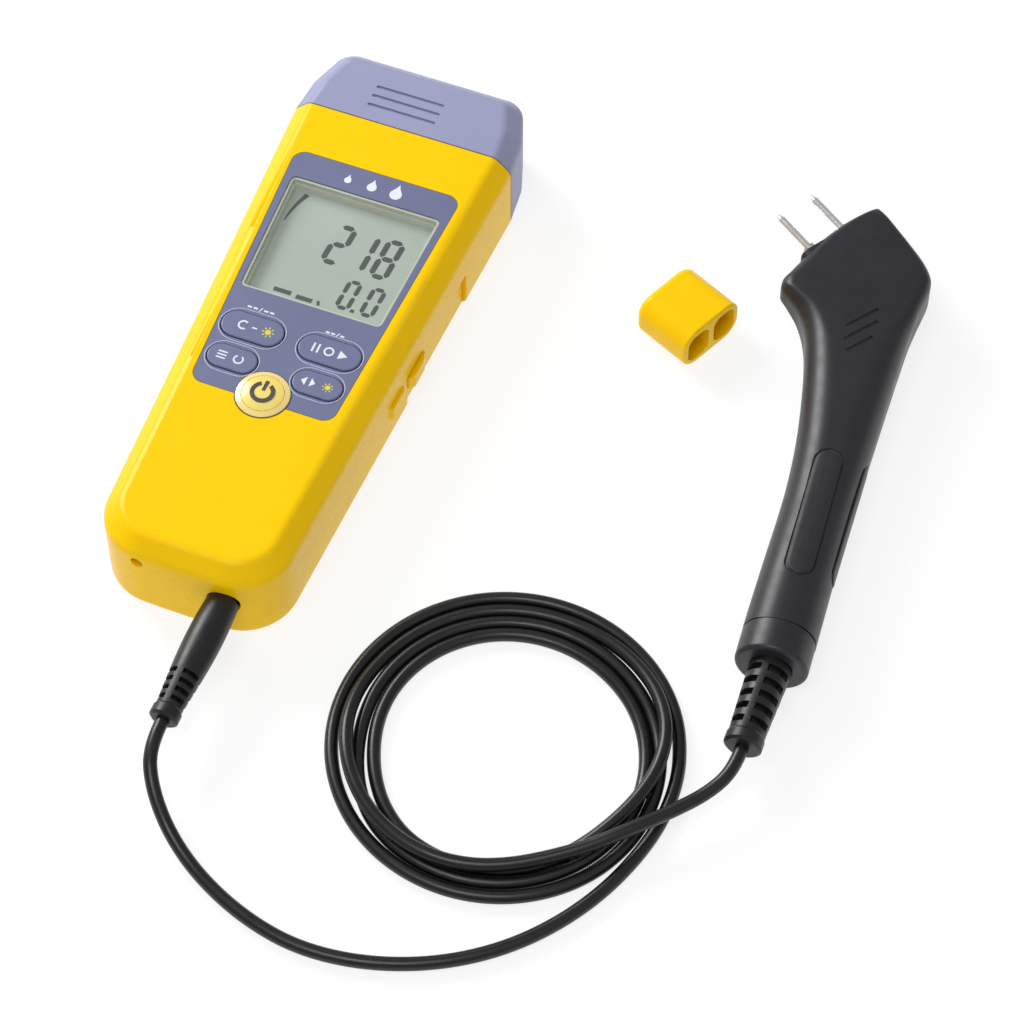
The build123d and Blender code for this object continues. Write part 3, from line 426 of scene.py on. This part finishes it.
# where the turns lie: total angle in degrees, radius and height of the cord's middle in millimetres
COIL_LAY = [
    (22, 44.6, 1.8), (60, 44.1, 1.8), (90, 44.0, 1.8), (180, 43.8, 1.8), (270, 43.8, 1.8),
    (320, 43.0, 1.8), (350, 41.3, 1.8), (370, 40.0, 1.8), (385, 39.1, 1.8), (400, 38.2, 1.8),
    (420, 37.2, 1.8), (450, 36.6, 1.8), (495, 36.4, 1.8), (540, 36.4, 1.8), (556, 36.6, 1.8),
    (570, 37.6, 1.8), (585, 39.0, 1.8), (600, 39.9, 1.8), (630, 40.0, 1.8), (660, 39.6, 1.8),
    (690, 38.6, 1.8), (705, 37.9, 1.8), (720, 37.0, 1.8), (740, 35.8, 1.8), (760, 34.6, 1.8),
    (780, 33.6, 1.8), (810, 33.0, 1.8), (900, 32.7, 1.8), (925, 33.0, 1.8), (945, 34.4, 1.8),
    (960, 35.7, 1.8), (975, 36.3, 1.8), (1005, 36.3, 1.8), (1020, 35.9, 1.9), (1035, 35.6, 2.8),
    (1050, 35.9, 4.3), (1065, 36.9, 5.4), (1080, 38.8, 5.5), (1095, 40.6, 5.4), (1110, 41.6, 5.0),
    (1125, 41.2, 4.0),
    (1140, 40.8, 3.0), (1155, 40.4, 2.2), (1170, 40.2, 1.8), (1235, 40.1, 1.8), (1250, 40.1, 2.6),
    (1264, 40.1, 4.2), (1278, 40.0, 5.4), (1305, 39.6, 5.5), (1330, 38.9, 5.5), (1350, 37.9, 5.5),
    (1369, 36.5, 5.6), (1385, 36.3, 6.2), (1402, 38.2, 7.2),
]
# from the coil to the handset
PROBE_SIDE = [
    (0.1287, -0.1123, 0.0082),
    (0.1376, -0.1030, 0.0083),
    (0.1446, -0.0948, 0.0087),
    (0.14869, -0.08688, 0.0100),
    (0.148455, -0.080085, 0.0100),
]


def between(rows, at):
    """Values of a table of rows at a place along its first column, on a smooth curve through the rows."""
    index = max(i for i, row in enumerate(rows[:-1]) if row[0] <= at or i == 0)
    low, high = rows[index], rows[index + 1]
    before, after = rows[max(index - 1, 0)], rows[min(index + 2, len(rows) - 1)]
    span = high[0] - low[0]
    t = min(1.0, max(0.0, (at - low[0]) / span))
    found = []
    for k in range(1, len(low)):
        slope_low = (high[k] - before[k]) / max(high[0] - before[0], 1e-9) * span
        slope_high = (after[k] - low[k]) / max(after[0] - low[0], 1e-9) * span
        if (high[k] - low[k]) * (low[k] - before[k]) <= 0:
            slope_low = 0.0
        if (after[k] - high[k]) * (high[k] - low[k]) <= 0:
            slope_high = 0.0
        share = 2 * t**3 - 3 * t**2 + 1
        bends = (t**3 - 2 * t**2 + t) * slope_low, (t**3 - t**2) * slope_high
        found.append(share * low[k] + bends[0] + (1 - share) * high[k] + bends[1])
    return found


def coil_points():
    """The coil's turns, wound counter-clockwise as seen from above."""
    points = []
    angle = COIL_LAY[0][0]
    while angle <= COIL_LAY[-1][0]:
        radius, height = between(COIL_LAY, angle)
        a = radians(angle + COIL_TURN)
        points.append(COIL_CENTRE + Vector((radius * cos(a), radius * sin(a), height)) * MM)
        angle += COIL_STEP
    return points


def spline_object(name, points, radius):
    """A round cord as one open NURBS curve with these control points."""
    data = bpy.data.curves.new(name, "CURVE")
    data.dimensions = "3D"
    spline = data.splines.new("NURBS")
    spline.points.add(len(points) - 1)
    for point, place in zip(spline.points, points):
        point.co = (*place, 1.0)
    spline.order_u = 3
    spline.use_endpoint_u = True
    spline.resolution_u = 8
    data.bevel_depth = radius
    data.bevel_resolution = 6
    data.use_fill_caps = True
    curve = bpy.data.objects.new(name, data)
    bpy.context.scene.collection.objects.link(curve)
    return curve


def make_lead():
    route = [Vector(p) for p in METER_SIDE] + coil_points() + [Vector(p) for p in PROBE_SIDE]
    lead = spline_object("lead_cord", route, CORD_D / 2)
    lead.data.materials.append(looks["cord_black"])
    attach(lead, "lead_and_handset")
    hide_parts("cord_meter_side", "cord_coil", "cord_probe_side")


# ================================================================ handset
handset = Matrix.Translation(HANDSET_AT) @ Matrix.Rotation(radians(HANDSET_HEADING), 4, "Z")
# along the handset, left side, right side, height above and depth below its axis, corner radius, crown of the
# top, rise of the underside towards the left edge as a share of the half thickness; lengths in millimetres
HANDSET_FORM = [
    (9.2, -9.6, 9.7, 9.5, 9.5, 9.0, 0.0, 0.0),
    (27.0, -9.3, 9.7, 9.4, 9.4, 8.8, 0.0, 0.0),
    (50.0, -8.8, 9.9, 9.3, 9.3, 8.6, 0.0, 0.0),
    (68.0, -9.6, 10.5, 9.4, 9.4, 8.2, 0.1, 0.0),
    (84.0, -11.6, 11.0, 9.5, 9.5, 7.6, 0.2, 0.0),
    (96.0, -13.7, 11.4, 9.6, 9.4, 6.8, 0.3, 0.0),
    (103.0, -15.8, 11.7, 9.6, 8.6, 6.0, 0.35, 0.15),
    (108.0, -18.8, 12.0, 9.6, 7.5, 5.2, 0.4, 0.5),
    (111.2, -22.2, 12.3, 9.6, 6.4, 4.2, 0.4, 0.85),
    (113.2, -24.4, 12.6, 9.6, 5.5, 3.6, 0.4, 0.95),
    (115.4, -24.8, 12.9, 9.6, 5.0, 3.4, 0.4, 0.9),
    (119.0, -23.4, 13.5, 9.6, 4.7, 3.3, 0.4, 0.6),
    (124.0, -21.1, 14.1, 9.6, 4.4, 3.2, 0.4, 0.15),
    (127.0, -19.8, 13.6, 9.6, 4.2, 3.1, 0.4, 0.0),
    (131.0, -17.8, 11.0, 9.6, 4.0, 3.0, 0.4, 0.0),
    (136.0, -14.7, 6.2, 9.6, 3.8, 2.8, 0.35, 0.0),
    (140.0, -11.6, 2.0, 9.5, 3.6, 2.4, 0.3, 0.0),
    (143.0, -8.8, -1.2, 9.3, 3.4, 1.9, 0.2, 0.0),
    (144.8, -6.9, -3.4, 8.9, 3.3, 1.2, 0.0, 0.0),
    (145.5, -5.9, -4.6, 8.5, 3.1, 0.4, 0.0, 0.0),
]
ARC_STEPS = 9  # points on each corner of a section
FLAT_STEPS = 10  # and on each flat between them
# steps along the handset, finer where the head changes fast: up to this distance, step, in millimetres
SKIN_STEPS = [(92, 1.5), (140, 0.6), (1000, 0.35)]
SEAM = 0.00006  # half the gap between the two shells
FAR = 0.4  # side of the block that takes one half of the skin away
# the opening for the electrode block, in millimetres: how far ahead of its middle, sides, corner radius
SEAT_AHEAD = 2.0
SEAT_SIZE = (23.2, 12.2, 8.7)
SEAT_CORNER = 2.5


def section(left, right, above, below, corner, crown, lift):
    """Points of one cross-section in millimetres, from the right side up and over: (across, up)."""
    half, half_t, shift = (right - left) / 2, (above + below) / 2, (above - below) / 2
    corner = min(corner, half - 0.01, half_t - 0.01)
    middle = (left + right) / 2
    corners = [(1, 1, 0), (-1, 1, 90), (-1, -1, 180), (1, -1, 270)]
    points = []
    for index, (sx, sy, start) in enumerate(corners):
        cx, cy = sx * (half - corner), sy * (half_t - corner)
        for step in range(ARC_STEPS + 1):
            a = radians(start + 90 * step / ARC_STEPS)
            points.append((cx + corner * cos(a), cy + corner * sin(a)))
        nx, ny, following = corners[(index + 1) % 4]
        a = radians(following)
        goal = (nx * (half - corner) + corner * cos(a), ny * (half_t - corner) + corner * sin(a))
        begin = points[-1]
        for step in range(1, FLAT_STEPS):
            t = step / FLAT_STEPS
            points.append((begin[0] + (goal[0] - begin[0]) * t, begin[1] + (goal[1] - begin[1]) * t))
    lifted = []
    for x, y in points:
        # the crown shows on the top and the underside, not on the sides
        rise = crown * (1 - (x / half) ** 2) * (1 if y > 0 else -1)
        if y < 0:
            y *= 1 - lift * max(0.0, (0.3 * half - x) / (1.3 * half)) ** 2
        lifted.append((middle + x, shift + y + (rise if abs(y) > half_t * 0.35 else 0)))
    return lifted


def handset_skin(name):
    """The handset's whole outer form as one closed mesh, finer where the head changes fast."""
    at, last = HANDSET_FORM[0][0], HANDSET_FORM[-1][0]
    distances = []
    while at < last:
        distances.append(at)
        at += next(step for limit, step in SKIN_STEPS if at < limit)
    distances.append(last)
    points = []
    for distance in distances:
        ring = section(*between(HANDSET_FORM, distance))
        points += [handset @ Vector((x * MM, distance * MM, z * MM)) for x, z in ring]
    faces = walls(len(ring), len(distances)) + ends(len(ring), len(distances))
    return mesh_from(name, points, faces)


OUTSIDE = 40  # a distance that is clear of the handset, in millimetres


def landed(tree, across, along, direction):
    """Where a line from outside meets the skin, with the skin's normal.

    From the top, across runs over the handset. From the side, it runs up.
    """
    if direction == "top":
        start, way = Vector((across, along, OUTSIDE)), -UP
    else:
        start, way = Vector((OUTSIDE, along, across)), -RIGHT
    place, normal, _, _ = tree.ray_cast(handset @ (start * MM), handset.to_3x3() @ way)
    return place, normal


# soft pads: name, middle across, middle along, length, width, side it is on, in millimetres
PADS = [
    ("grip_pad_top", 0.6, 43.5, 39.0, 6.8, "top"),
    ("grip_pad_side", 1.2, 46.5, 37.5, 5.6, "side"),
]
# heel grooves: middle across, middle along, length, in millimetres
HEEL_GROOVES = [(-1.1, 107.2, 10.5), (-0.6, 102.9, 10.9), (0.0, 98.5, 8.6)]
HEEL_ANGLE = 48.0
HEEL_STEPS = 14
GROOVE_R = 0.42
RIM_GAP = 0.25  # from a pad's edge to the middle of the groove round it
# a pad's rings from its edge inwards: share of its size, lift off the skin in millimetres
PAD_RINGS = [(1.0, -0.45), (1.0, 0.0), (0.97, 0.14), (0.90, 0.20), (0.7, 0.22), (0.45, 0.22), (0.2, 0.22)]


def pad_rim(tree, pad):
    """The line round a pad, laid on the skin."""
    _, across, along, length, width, side = pad
    outline = racetrack(length + 2 * RIM_GAP, width + 2 * RIM_GAP, steps=16)
    return [landed(tree, across + y, along + x, side)[0] for x, y in outline]


def heel_groove(tree, groove):
    """One slanted groove's line on the skin."""
    across, along, length = groove
    a = radians(HEEL_ANGLE)
    line = []
    for i in range(HEEL_STEPS + 1):
        s = (i / HEEL_STEPS - 0.5) * length
        line.append(landed(tree, across + s * cos(a), along + s * sin(a), "top")[0])
    return line


def grip_pad(tree, pad):
    """A soft pad that follows the skin, a little proud of it, with rolled edges."""
    name, across, along, length, width, side = pad
    run = length - width
    points = []
    for share, lift in PAD_RINGS:
        outline = racetrack(run * (1 if share > 0.6 else share) + width * share, width * share, steps=16)
        for x, y in outline:
            place, normal = landed(tree, across + y, along + x, side)
            points.append(place + normal * (lift * MM))
    faces = walls(len(outline), len(PAD_RINGS)) + ends(len(outline), len(PAD_RINGS), flipped=True)
    mesh = mesh_from(name, points, faces)
    piece = new_piece(f"{name}_soft", mesh, "grip_black", "lead_and_handset")
    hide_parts(name)


def oriented_box(centre, axes, size, corner=0.0):
    """A box cutter about a point, its sides along three axes, with its edges along the third one rounded."""
    work = bmesh.new()
    bmesh.ops.create_cube(work, size=1.0)
    work.transform(Matrix.Diagonal((*size, 1)))
    if corner:
        edges = [e for e in work.edges if abs(e.verts[0].co.z - e.verts[1].co.z) > size[2] * 0.5]
        bmesh.ops.bevel(work, geom=edges, offset=corner, segments=6, affect="EDGES", profile=0.5)
    turn = Matrix(axes).transposed().to_4x4()
    turn.translation = centre
    work.transform(turn)
    mesh = bpy.data.meshes.new("box")
    work.to_mesh(mesh)
    work.free()
    return mesh


def make_handset():
    """The two shells cut from one skin, with the opening for the electrode block, and the soft pads."""
    skin = handset_skin("handset_skin")
    scratch = bmesh.new()
    scratch.from_mesh(skin)
    tree = BVHTree.FromBMesh(scratch)
    scratch.free()

    pin_out = handset.to_3x3() @ Vector((cos(radians(PIN_HEADING)), sin(radians(PIN_HEADING)), 0))
    pin_side = pin_out.cross(UP)
    block_low, block_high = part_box("probe_pin_block")
    seat = (block_low + block_high) / 2 + pin_out * (SEAT_AHEAD * MM)
    seat_size = [side * MM for side in SEAT_SIZE]

    cutters = [tube("rim", pad_rim(tree, pad), GROOVE_R * MM, closed=True) for pad in PADS]
    cutters += [tube("heel", heel_groove(tree, groove), GROOVE_R * MM) for groove in HEEL_GROOVES]
    cutters.append(oriented_box(seat, (pin_side, UP, pin_out), seat_size, corner=SEAT_CORNER * MM))

    for half, sign in (("upper", 1), ("lower", -1)):
        name = f"probe_case_{half}"
        piece = new_piece(name, skin.copy(), "handset_black", "lead_and_handset")
        middle = Vector((HANDSET_AT.x, HANDSET_AT.y, HANDSET_AT.z - sign * (FAR / 2 - SEAM)))
        away = oriented_box(middle, (RIGHT, AHEAD, UP), (FAR * 2, FAR * 2, FAR))
        cut(piece, [away] + cutters)
        smooth_by_angle(piece.data)
        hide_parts(f"probe_shell_{half}")
    for pad in PADS:
        grip_pad(tree, pad)


# ================================================================ display
SLANT = 0.05  # lean of the digits, sideways for each unit up
SEGMENTS = {"0": "abcdef", "1": "bc", "2": "abged", "8": "abcdefg"}
# numbers, in millimetres: digits, left edge of the first, pitch, foot, width, height, stroke
NUMBERS = [
    ("218", -4.2, 7.0, 14.6, 4.0, 12.4, 1.6),
    ("00", 5.3, 6.9, 1.6, 3.1, 9.0, 1.25),
]
# short bars low in the display: middle, length and width in millimetres, turn in degrees
SHORT_BARS = [
    (9.9, 1.5, 1.1, 1.1, 0),
    (-10.0, 1.1, 5.0, 1.4, 0),
    (-3.6, 0.7, 4.6, 1.4, 0),
    (0.5, 0.7, 0.8, 1.5, 20),
]
# scale arc at the left, thicker towards its top: middle and outer radius in millimetres, ends in degrees
SCALE_MIDDLE, SCALE_OUTER = (9.0, 23.4), 28.2
SCALE_START, SCALE_STOP, SCALE_STEPS = 158, 180, 18
SCALE_THIN, SCALE_EXTRA = 0.35, 1.1


def segment_outlines(x, y, width, height, stroke, wanted):
    """Outlines of the wanted bars of one seven-bar digit, about its lower left corner."""
    gap = stroke * 0.16
    half, tip = height / 2, stroke / 2

    def flat(level):
        left, right = gap + tip, width - gap - tip
        return [
            (left - tip, level), (left, level + tip), (right, level + tip),
            (right + tip, level), (right, level - tip), (left, level - tip),
        ]

    def upright(column, low, high):
        low, high = low + gap + tip, high - gap - tip
        return [
            (column, low - tip), (column + tip, low), (column + tip, high),
            (column, high + tip), (column - tip, high), (column - tip, low),
        ]

    shapes = {
        "a": flat(height), "g": flat(half), "d": flat(0.0),
        "f": upright(0.0, half, height), "b": upright(width, half, height),
        "e": upright(0.0, 0.0, half), "c": upright(width, 0.0, half),
    }
    return [[(x + u + v * SLANT, y + v) for u, v in shapes[key]] for key in wanted]


def scale_arc():
    """Outline of the scale arc."""
    outside, inside = [], []
    for i in range(SCALE_STEPS + 1):
        a = radians(SCALE_START + (SCALE_STOP - SCALE_START) * i / SCALE_STEPS)
        thick = SCALE_THIN + SCALE_EXTRA * (1 - i / SCALE_STEPS)
        for line, r in ((outside, SCALE_OUTER), (inside, SCALE_OUTER - thick)):
            line.append((SCALE_MIDDLE[0] + r * cos(a), SCALE_MIDDLE[1] + r * sin(a)))
    return outside + inside[::-1]


def make_display():
    marks = []
    for digits, left, pitch, foot, width, height, stroke in NUMBERS:
        for column, digit in enumerate(digits):
            marks += segment_outlines(left + pitch * column, foot, width, height, stroke, SEGMENTS[digit])
    marks += [bar(*row) for row in SHORT_BARS]
    marks.append(scale_arc())
    mesh = plates("display_marks", placed(marks), CELL_TOP)
    new_piece("display_marks", mesh, "lcd_ink", "meter")


# ================================================================ keys and printed marks
def drop(x, y, r):
    """Outline of a water drop, point up."""
    round_part = [(x + r * cos(a), y + r * sin(a)) for a in (radians(150 + 240 * i / 28) for i in range(29))]
    return round_part + [(x + 0.28 * r, y + 1.35 * r), (x, y + 2.1 * r), (x - 0.28 * r, y + 1.35 * r)]


def sun(x, y, r):
    """Outlines of a small lamp sign: a disc and eight rays."""
    disc = [(x + r * 0.48 * cos(a), y + r * 0.48 * sin(a)) for a in (2 * pi * i / 20 for i in range(20))]
    rays = []
    for step in range(8):
        a = 45.0 * step
        mid = 0.82 * r
        rays.append(bar(x + mid * cos(radians(a)), y + mid * sin(radians(a)), r * 0.36, r * 0.2, a))
    return [disc] + rays


# plain generic signs on the keys, in millimetres about the key's middle: white outlines, yellow outlines
KEY_SIGNS = {
    "key_upper_left": (
        [arc_band(-2.6, 0, 1.0, 1.5, 50, 310), bar(0.6, 0, 1.4, 0.45)],
        sun(4.4, 0, 1.7),
    ),
    "key_upper_right": (
        [
            bar(-4.6, 0, 0.55, 2.9),
            bar(-3.2, 0, 0.55, 2.9),
            arc_band(-0.2, 0, 0.95, 1.45, 0, 359),
            [(2.6, -1.4), (5.0, 0), (2.6, 1.4)],
        ],
        [],
    ),
    "key_lower_left": (
        [bar(-2.9, level, 2.6, 0.42) for level in (-1.0, 0.0, 1.0)] + [arc_band(1.8, 0, 1.0, 1.45, 120, 420)],
        [],
    ),
    "key_lower_right": (
        [[(-4.6, 0), (-3.2, -1.4), (-3.2, 1.4)], [(-0.6, 0), (-2.0, -1.4), (-2.0, 1.4)]],
        sun(2.9, 0, 1.5),
    ),
}
SURROUND_GAP, SURROUND_R = 1.1, 0.2  # what the line round a key adds to its length and width, and its radius

DROPS = [(-7.0, 1.0), (0.0, 1.35), (7.0, 1.7)]  # middle, radius
DROPS_DOWN = 0.7  # how far they lie below the middle of their band
# dashes above the upper keys, in place of words: middle, length and width in millimetres, turn in degrees
DASHES = [(x, -9.4, 1.2, 0.55, 0) for x in (-14.6, -12.9, -9.9, -8.2)]
DASHES += [(x, -9.8, 1.1, 0.55, 0) for x in (7.9, 9.4, 12.0)]
DASHES += [(-11.4, -9.4, 1.5, 0.3, 65), (10.7, -9.8, 1.5, 0.3, 65)]


def make_key_faces():
    """Signs on the four keys, and a raised line on the faceplate round each."""
    for name, (white, yellow) in KEY_SIGNS.items():
        body = name.replace("key_", "") + "_key"
        low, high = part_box(name)
        x, y = (low.x + high.x) / 2, (low.y + high.y) / 2
        new_piece(f"{name}_signs", plates(name, placed(white, x, y), high.z), "white_ink", body)
        if yellow:
            mesh = plates(name, placed(yellow, x, y), high.z)
            new_piece(f"{name}_lamp_sign", mesh, "yellow_ink", body)
        grow = SURROUND_GAP * MM
        outline = racetrack(high.x - low.x + grow, high.y - low.y + grow, 16)
        mesh = tube(name, [Vector((x + u, y + v, PLATE_TOP)) for u, v in outline], SURROUND_R * MM, closed=True)
        new_piece(f"{name}_surround", mesh, "pale_line", "meter")


def make_plate_marks():
    """Three drops above the display and short dashes above the upper keys."""
    window_low, window_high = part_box("lcd_window")
    bezel_low, bezel_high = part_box("lcd_bezel")
    window_top = (window_low.y + window_high.y) / 2 + (bezel_high.y - bezel_low.y) / 2
    y = (window_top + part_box("faceplate")[1].y) / 2 - DROPS_DOWN * MM
    signs = placed([drop(x, 0, r) for x, r in DROPS], 0.0, y) + placed([bar(*row) for row in DASHES])
    mesh = plates("faceplate_signs", signs, PLATE_TOP)
    new_piece("faceplate_signs", mesh, "white_ink", "meter")


def lathe(name, profile, centre, segments=72, ring=False):
    """A form turned about an upright axis from rows of (radius, height).

    Its ends are closed, or joined to each other for a ring.
    """
    points = []
    for radius, height in profile:
        for turn in range(segments):
            a = 2 * pi * turn / segments
            points.append((centre.x + radius * cos(a), centre.y + radius * sin(a), height))
    faces = walls(segments, len(profile), closed=ring)
    if not ring:
        faces += ends(segments, len(profile), flipped=True)
    return mesh_from(name, points, faces)


# the round key and its surround, in millimetres
POWER_R = 5.62
SURROUND_INNER = 5.70
CROWN_UP = 0.35  # the dome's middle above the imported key
DOME_DROP, DOME_POWER = 1.1, 2.4  # how far it falls at the surround's edge, and the power of that curve
SKIRT = 0.8  # the key's foot, as wide as it is high
LIP = 0.35  # the surround's rounded outer edge
POWER_RINGS = (0.985, 0.93, 0.85, 0.75, 0.65, 0.5, 0.35, 0.2, 0.03)  # shares of the key's radius
SIGN_THICK, SIGN_SUNK = 0.22, 0.02
SHADE_LINE_GAP, SHADE_LINE_R, SHADE_LINE_STEPS = 0.1, 0.16, 72  # the dark line round the surround, painted shade in the gap at the surround's foot


def make_power_button():
    """The round key and its surround, which carry on one shallow dome with a hairline between them."""
    low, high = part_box("power_button")
    ring_low, ring_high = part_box("power_ring")
    centre = (low + high) / 2
    outer, foot = (ring_high.x - ring_low.x) / 2, low.z
    inner, r = SURROUND_INNER * MM, POWER_R * MM
    crown, skirt = high.z + CROWN_UP * MM, SKIRT * MM

    def dome(radius):
        return crown - DOME_DROP * MM * (radius / outer) ** DOME_POWER

    profile = [(r + skirt, foot), (r + skirt, foot + skirt), (r, foot + skirt), (r, dome(r) - 0.1 * MM)]
    profile += [(r * t, dome(r * t)) for t in POWER_RINGS]
    cap = new_piece("power_button_dome", lathe("power", profile, centre), "power_cream", "power")
    smooth_by_angle(cap.data)
    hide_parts("power_button")

    lip = outer - LIP * MM
    rows = [(inner, ring_low.z), (outer, ring_low.z)]
    rows += [(outer, dome(lip) - LIP * MM), (outer - 0.1 * MM, dome(lip) - 0.1 * MM), (lip, dome(lip))]
    rows += [(inner + step * MM, dome(inner + step * MM)) for step in (0.9, 0.4)]
    rows += [(inner + 0.06 * MM, dome(inner)), (inner, dome(inner) - 0.1 * MM)]
    mesh = lathe("ring", rows, centre, ring=True)
    surround = new_piece("power_surround", mesh, "ring_cream", "meter")
    smooth_by_angle(surround.data)
    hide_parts("power_ring")

    sign = placed([arc_band(0, 0, 2.15, 3.35, 118, 422, 60), bar(0, 2.05, 1.0, 3.3)], centre.x, centre.y)
    sign_z = dome(3.4 * MM) - SIGN_SUNK * MM
    mesh = plates("power_sign", sign, sign_z, thick=SIGN_THICK * MM)
    new_piece("power_sign", mesh, "dark_ink_and_painted_shade", "power")

    # a thin dark ring on the faceplate at the surround's foot: painted shade where the surround meets the
    # plate; the same dark material also prints the power sign
    shade_line_r = outer + SHADE_LINE_GAP * MM
    angles = [2 * pi * i / SHADE_LINE_STEPS for i in range(SHADE_LINE_STEPS)]
    line = [Vector((centre.x + shade_line_r * cos(a), centre.y + shade_line_r * sin(a), PLATE_TOP)) for a in angles]
    mesh = tube("line", line, SHADE_LINE_R * MM, closed=True)
    new_piece("power_ring_painted_shade", mesh, "dark_ink_and_painted_shade", "meter")


# ================================================================ making
make_camera()
looks = make_materials()
make_lead()
make_studio()
dress_nodes()
make_handset()
make_display()
make_key_faces()
make_plate_marks()
make_power_button()
